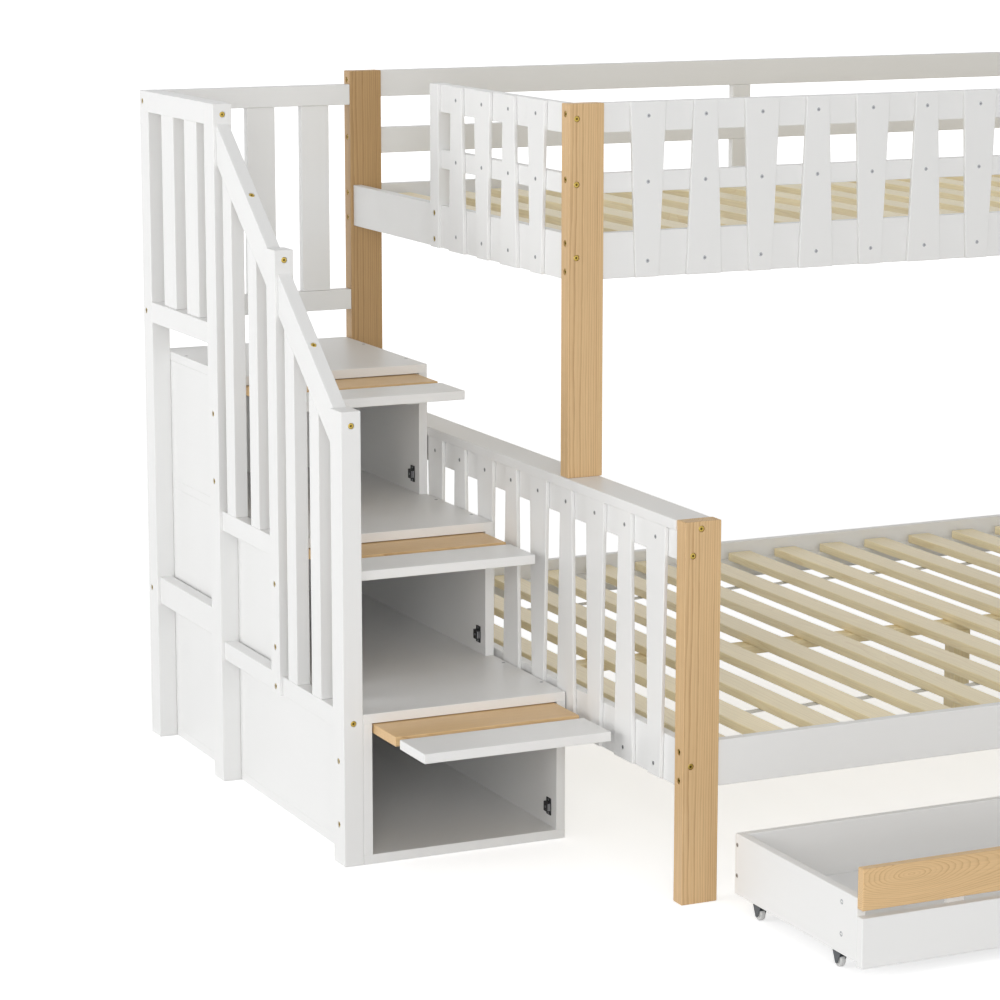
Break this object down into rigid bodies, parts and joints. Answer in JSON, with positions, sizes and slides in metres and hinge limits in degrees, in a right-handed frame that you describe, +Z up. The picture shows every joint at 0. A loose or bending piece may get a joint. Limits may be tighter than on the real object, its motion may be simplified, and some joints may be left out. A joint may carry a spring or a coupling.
{
  "type": "bunk bed with storage stairs",
  "caption": "Twin-over-full bunk bed of pine posts and white boards with tapered slats, box stairs with flip-up doors, a handrail, guard rails and wheeled under-bed drawers.",
  "frame": {"origin": "middle of the bounding box at floor level, with the head-end drawer pulled out and the doors open", "axes": "+X from the stair at the head end to the foot end, +Y from the open front to the rear rails, +Z up"},
  "size_m": [2.427, 1.896, 1.3],
  "materials": {
    "pine_post": "clear lacquered pine, straight grain",
    "pine_strip": "clear lacquered pine, long grain",
    "pine_slat": "bare pale pine",
    "white_board": "satin white paint on solid wood and board",
    "webbing": "woven white webbing",
    "brass_bolt": "yellow zinc, satin",
    "bright_steel": "bright zinc",
    "black_plastic": "matt black",
    "dark_fork": "dark grey, semi-gloss",
    "pale_wheel": "pale grey nylon"
  },
  "bodies": {
    "bed": {"cabinet_back_panels": "white_board", "cabinet_base": "white_board", "cabinet_landing": "white_board", "cabinet_left_panels": "white_board", "cabinet_right_panels": "white_board", "cabinet_treads": "white_board", "catch_bodies": "black_plastic", "catch_poles": "bright_steel", "centre_beam": "pine_slat", "door_pivots": "bright_steel", "end_bottom_rails": "white_board", "end_caps": "white_board", "end_guard_rails": "white_board", "end_guard_slats": "white_board", "end_slats": "white_board", "end_top_rails": "white_board", "entrance_post": "white_board", "frame_bolts": "brass_bolt", "front_guard_rails": "white_board", "front_guard_slats": "white_board", "lower_front_posts": "pine_post", "lower_side_rails": "white_board", "lower_slats": "pine_slat", "rear_guard_rails": "white_board", "rear_posts": "pine_post", "slat_ledgers": "white_board", "slat_screws": "bright_steel", "slat_straps": "webbing", "stair_back_guard": "white_board", "stair_balusters": "white_board", "stair_handrails": "white_board", "stair_posts": "white_board", "stair_side_rails": "white_board", "upper_front_posts": "pine_post", "upper_rails": "white_board", "upper_slats": "pine_slat"},
    "door_1": {"door_1_board": "white_board", "door_1_strip": "pine_strip"},
    "door_2": {"door_2_board": "white_board", "door_2_strip": "pine_strip"},
    "door_3": {"door_3_board": "white_board", "door_3_strip": "pine_strip"},
    "foot_drawer": {"foot_drawer_box": "white_board", "foot_drawer_forks": "dark_fork", "foot_drawer_front_board": "white_board", "foot_drawer_front_strip": "pine_strip", "foot_drawer_screws": "bright_steel"},
    "foot_drawer_wheel_1": {"foot_drawer_wheel_1": "pale_wheel"},
    "foot_drawer_wheel_2": {"foot_drawer_wheel_2": "pale_wheel"},
    "foot_drawer_wheel_3": {"foot_drawer_wheel_3": "pale_wheel"},
    "foot_drawer_wheel_4": {"foot_drawer_wheel_4": "pale_wheel"},
    "head_drawer": {"head_drawer_box": "white_board", "head_drawer_forks": "dark_fork", "head_drawer_front_board": "white_board", "head_drawer_front_strip": "pine_strip", "head_drawer_screws": "bright_steel"},
    "head_drawer_wheel_1": {"head_drawer_wheel_1": "pale_wheel"},
    "head_drawer_wheel_2": {"head_drawer_wheel_2": "pale_wheel"},
    "head_drawer_wheel_3": {"head_drawer_wheel_3": "pale_wheel"},
    "head_drawer_wheel_4": {"head_drawer_wheel_4": "pale_wheel"}
  },
  "joints": [
    {"name": "door_1_hinge", "type": "hinge", "parent": "bed", "child": "door_1", "pos_m": [-0.984, -0.056, 0.2445], "axis": [1, 0, 0], "range_deg": [0, 90]},
    {"name": "door_2_hinge", "type": "hinge", "parent": "bed", "child": "door_2", "pos_m": [-0.984, 0.244, 0.4955], "axis": [1, 0, 0], "range_deg": [0, 90]},
    {"name": "door_3_hinge", "type": "hinge", "parent": "bed", "child": "door_3", "pos_m": [-0.984, 0.544, 0.7465], "axis": [1, 0, 0], "range_deg": [0, 90]},
    {"name": "head_drawer_slide", "type": "slide", "parent": "bed", "child": "head_drawer", "axis": [0, 1, 0], "range_m": [0, 0.453]},
    {"name": "foot_drawer_slide", "type": "slide", "parent": "bed", "child": "foot_drawer", "axis": [0, 1, 0], "range_m": [-0.453, 0]},
    {"name": "head_drawer_wheel_1_spin", "type": "hinge", "parent": "head_drawer", "child": "head_drawer_wheel_1", "pos_m": [-0.706, -0.871, 0.011], "axis": [1, 0, 0], "continuous": true},
    {"name": "head_drawer_wheel_2_spin", "type": "hinge", "parent": "head_drawer", "child": "head_drawer_wheel_2", "pos_m": [0.196, -0.871, 0.011], "axis": [1, 0, 0], "continuous": true},
    {"name": "head_drawer_wheel_3_spin", "type": "hinge", "parent": "head_drawer", "child": "head_drawer_wheel_3", "pos_m": [-0.706, -0.616, 0.011], "axis": [1, 0, 0], "continuous": true},
    {"name": "head_drawer_wheel_4_spin", "type": "hinge", "parent": "head_drawer", "child": "head_drawer_wheel_4", "pos_m": [0.196, -0.616, 0.011], "axis": [1, 0, 0], "continuous": true},
    {"name": "foot_drawer_wheel_1_spin", "type": "hinge", "parent": "foot_drawer", "child": "foot_drawer_wheel_1", "pos_m": [0.227, -0.418, 0.011], "axis": [1, 0, 0], "continuous": true},
    {"name": "foot_drawer_wheel_2_spin", "type": "hinge", "parent": "foot_drawer", "child": "foot_drawer_wheel_2", "pos_m": [1.129, -0.418, 0.011], "axis": [1, 0, 0], "continuous": true},
    {"name": "foot_drawer_wheel_3_spin", "type": "hinge", "parent": "foot_drawer", "child": "foot_drawer_wheel_3", "pos_m": [0.227, -0.163, 0.011], "axis": [1, 0, 0], "continuous": true},
    {"name": "foot_drawer_wheel_4_spin", "type": "hinge", "parent": "foot_drawer", "child": "foot_drawer_wheel_4", "pos_m": [1.129, -0.163, 0.011], "axis": [1, 0, 0], "continuous": true}
  ]
}
